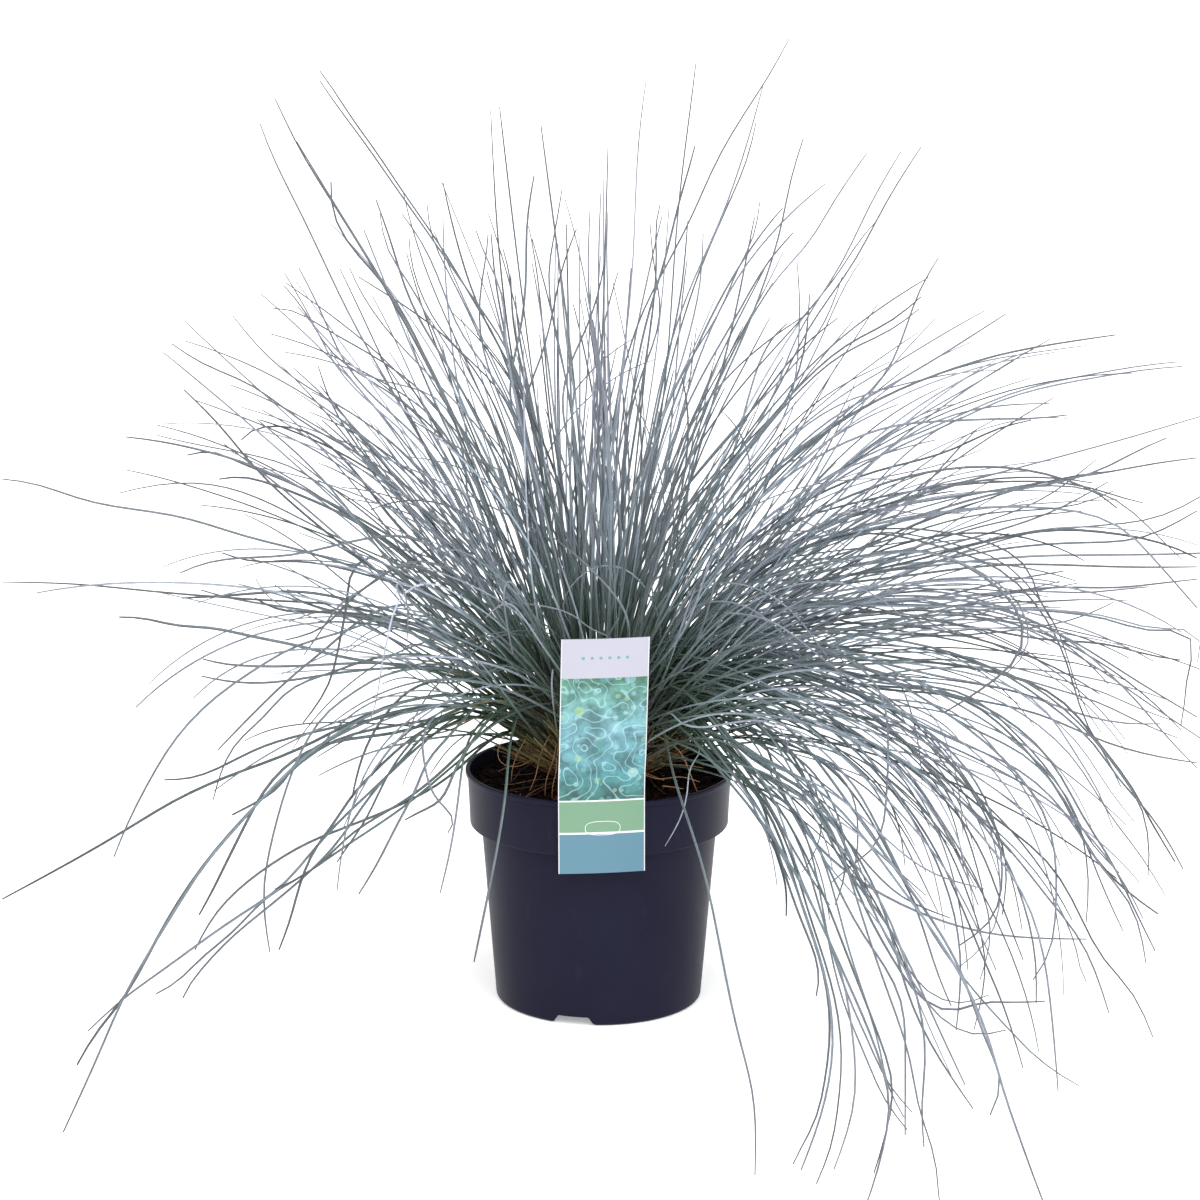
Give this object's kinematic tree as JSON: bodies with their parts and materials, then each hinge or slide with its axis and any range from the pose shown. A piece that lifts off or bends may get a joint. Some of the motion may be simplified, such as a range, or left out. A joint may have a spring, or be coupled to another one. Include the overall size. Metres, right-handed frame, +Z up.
{
  "type": "potted ornamental grass",
  "caption": "Tapered round nursery pot filled with soil, holding a clump of fine blue-grey grass that radiates and arches over the rim, with a narrow label hooked over the pot's lip.",
  "frame": {"origin": "middle of the pot's foot, on the surface that the pot stands on", "axes": "+Z up along the pot's axis; the label hangs on the -Y side"},
  "size_m": [0.7941, 0.8024, 0.6085],
  "materials": {
    "pot": "satin",
    "soil": "matte",
    "crown": "matte",
    "label": "satin",
    "leaves": "satin"
  },
  "bodies": {
    "root": {"crown": "crown", "label": "label", "pot_band": "pot", "pot_tub": "pot", "soil": "soil", "tuft_hanging_01": "leaves", "tuft_hanging_02": "leaves", "tuft_hanging_03": "leaves", "tuft_hanging_04": "leaves", "tuft_hanging_05": "leaves", "tuft_hanging_06": "leaves", "tuft_hanging_07": "leaves", "tuft_hanging_08": "leaves", "tuft_hanging_09": "leaves", "tuft_hanging_10": "leaves", "tuft_hanging_11": "leaves", "tuft_middle_01": "leaves", "tuft_middle_02": "leaves", "tuft_middle_03": "leaves", "tuft_middle_04": "leaves", "tuft_middle_05": "leaves", "tuft_middle_06": "leaves", "tuft_middle_07": "leaves", "tuft_middle_08": "leaves", "tuft_middle_09": "leaves", "tuft_middle_10": "leaves", "tuft_outer_01": "leaves", "tuft_outer_02": "leaves", "tuft_outer_03": "leaves", "tuft_outer_04": "leaves", "tuft_outer_05": "leaves", "tuft_outer_06": "leaves", "tuft_outer_07": "leaves", "tuft_outer_08": "leaves", "tuft_outer_09": "leaves", "tuft_outer_10": "leaves", "tuft_outer_11": "leaves", "tuft_outer_12": "leaves", "tuft_top_01": "leaves", "tuft_top_02": "leaves", "tuft_top_03": "leaves", "tuft_top_04": "leaves", "tuft_upper_01": "leaves", "tuft_upper_02": "leaves", "tuft_upper_03": "leaves", "tuft_upper_04": "leaves", "tuft_upper_05": "leaves", "tuft_upper_06": "leaves", "tuft_upper_07": "leaves", "tuft_upper_08": "leaves", "tuft_upper_09": "leaves"}
  },
  "joints": []
}
